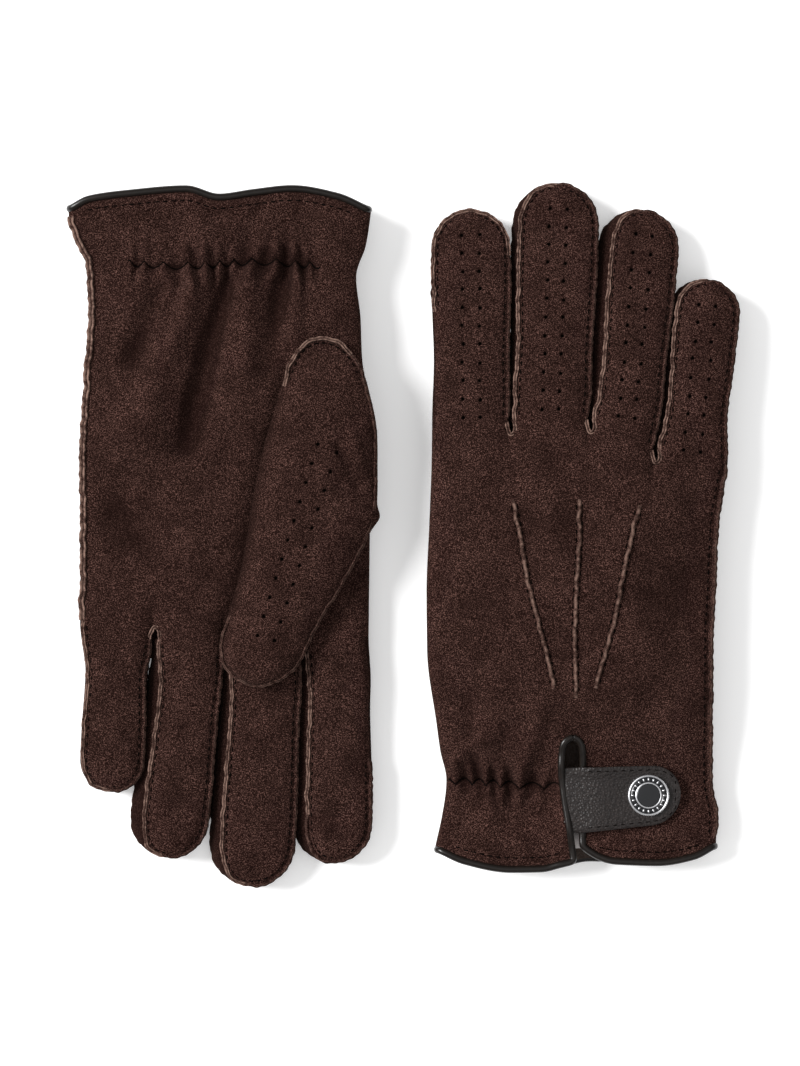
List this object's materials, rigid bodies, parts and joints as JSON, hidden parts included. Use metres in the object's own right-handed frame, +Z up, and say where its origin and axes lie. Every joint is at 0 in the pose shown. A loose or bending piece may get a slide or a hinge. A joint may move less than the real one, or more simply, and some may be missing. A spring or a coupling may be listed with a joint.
{
  "type": "pair of driving gloves",
  "caption": "Pair of lined dark suede driving gloves laid flat, one palm down and one palm up, with perforated fingers, piped cuffs and a strap that snaps over the wrist slit.",
  "frame": {"origin": "centre of the pair's footprint, on the surface it lies on", "axes": "+Z up from the surface; +Y towards the right glove's fingertips and the left glove's cuff; +X from the left glove to the right glove"},
  "size_m": [0.245, 0.2538, 0.0299],
  "materials": {
    "suede": "brushed suede",
    "binding": "smooth, slightly glossy",
    "strap_leather": "pebbled grain",
    "lining": "soft knit",
    "elastic": "woven elastic",
    "label": "blank woven label",
    "snap_cap": "black enamel with a bright rim",
    "snap_metal": "plated"
  },
  "bodies": {
    "left_hand": {"left_back": "suede", "left_cuff_piping": "binding", "left_elastic": "elastic", "left_fourchette_index_to_middle": "suede", "left_fourchette_middle_to_ring": "suede", "left_fourchette_ring_to_little": "suede", "left_lining": "lining", "left_palm": "suede", "left_size_label": "label", "left_slit_binding": "binding", "left_snap_stud": "snap_metal"},
    "left_index_end": {"left_index_finger": "suede", "left_index_fourchette_little_side": "suede"},
    "left_little_end": {"left_little_finger": "suede", "left_little_fourchette_thumb_side": "suede"},
    "left_middle_end": {"left_middle_finger": "suede", "left_middle_fourchette_little_side": "suede", "left_middle_fourchette_thumb_side": "suede"},
    "left_ring_end": {"left_ring_finger": "suede", "left_ring_fourchette_little_side": "suede", "left_ring_fourchette_thumb_side": "suede"},
    "left_tab_flap": {"left_snap_cap": "snap_cap", "left_snap_socket": "snap_metal", "left_tab": "strap_leather"},
    "left_thumb_fold": {"left_thumb_inner": "suede", "left_thumb_outer": "suede"},
    "right_hand": {"right_back": "suede", "right_cuff_piping": "binding", "right_elastic": "elastic", "right_fourchette_index_to_middle": "suede", "right_fourchette_middle_to_ring": "suede", "right_fourchette_ring_to_little": "suede", "right_lining": "lining", "right_palm": "suede", "right_size_label": "label", "right_slit_binding": "binding", "right_snap_stud": "snap_metal"},
    "right_index_end": {"right_index_finger": "suede", "right_index_fourchette_little_side": "suede"},
    "right_little_end": {"right_little_finger": "suede", "right_little_fourchette_thumb_side": "suede"},
    "right_middle_end": {"right_middle_finger": "suede", "right_middle_fourchette_little_side": "suede", "right_middle_fourchette_thumb_side": "suede"},
    "right_ring_end": {"right_ring_finger": "suede", "right_ring_fourchette_little_side": "suede", "right_ring_fourchette_thumb_side": "suede"},
    "right_tab_flap": {"right_snap_cap": "snap_cap", "right_snap_socket": "snap_metal", "right_tab": "strap_leather"},
    "right_thumb_fold": {"right_thumb_inner": "suede", "right_thumb_outer": "suede"}
  },
  "joints": [
    {"name": "right_glove_lift", "type": "slide", "parent": "left_hand", "child": "right_hand", "axis": [0, 0, 1], "range_m": [0, 0.15]},
    {"name": "left_tab_hinge", "type": "hinge", "parent": "left_hand", "child": "left_tab_flap", "pos_m": [-0.0614, 0.09885, 0.0049], "axis": [0, -1, 0], "range_deg": [0, 120]},
    {"name": "left_thumb_swing", "type": "hinge", "parent": "left_hand", "child": "left_thumb_fold", "pos_m": [-0.028, 0.06085, 0.02002], "axis": [0, 0, 1], "range_deg": [0, 20]},
    {"name": "left_index_flex", "type": "hinge", "parent": "left_hand", "child": "left_index_end", "pos_m": [-0.02427, -0.0633, 0.0155], "axis": [-1, 0, 0], "range_deg": [0, 80]},
    {"name": "left_middle_flex", "type": "hinge", "parent": "left_hand", "child": "left_middle_end", "pos_m": [-0.05343, -0.0673, 0.0155], "axis": [-1, 0, 0], "range_deg": [0, 80]},
    {"name": "left_ring_flex", "type": "hinge", "parent": "left_hand", "child": "left_ring_end", "pos_m": [-0.07991, -0.0633, 0.0155], "axis": [-1, 0, 0], "range_deg": [0, 80]},
    {"name": "left_little_flex", "type": "hinge", "parent": "left_hand", "child": "left_little_end", "pos_m": [-0.10509, -0.0493, 0.0155], "axis": [-1, 0, 0], "range_deg": [0, 80]},
    {"name": "right_tab_hinge", "type": "hinge", "parent": "right_hand", "child": "right_tab_flap", "pos_m": [0.0614, -0.09885, 0.0172], "axis": [0, -1, 0], "range_deg": [0, 120]},
    {"name": "right_thumb_swing", "type": "hinge", "parent": "right_hand", "child": "right_thumb_fold", "pos_m": [0.028, -0.06085, 0.00758], "axis": [0, 0, 1], "range_deg": [0, 20]},
    {"name": "right_index_flex", "type": "hinge", "parent": "right_hand", "child": "right_index_end", "pos_m": [0.02427, 0.0633, 0.00908], "axis": [-1, 0, 0], "range_deg": [0, 80]},
    {"name": "right_middle_flex", "type": "hinge", "parent": "right_hand", "child": "right_middle_end", "pos_m": [0.05343, 0.0673, 0.0084], "axis": [-1, 0, 0], "range_deg": [0, 80]},
    {"name": "right_ring_flex", "type": "hinge", "parent": "right_hand", "child": "right_ring_end", "pos_m": [0.07991, 0.0633, 0.00908], "axis": [-1, 0, 0], "range_deg": [0, 80]},
    {"name": "right_little_flex", "type": "hinge", "parent": "right_hand", "child": "right_little_end", "pos_m": [0.10509, 0.0493, 0.0098], "axis": [-1, 0, 0], "range_deg": [0, 80]}
  ]
}
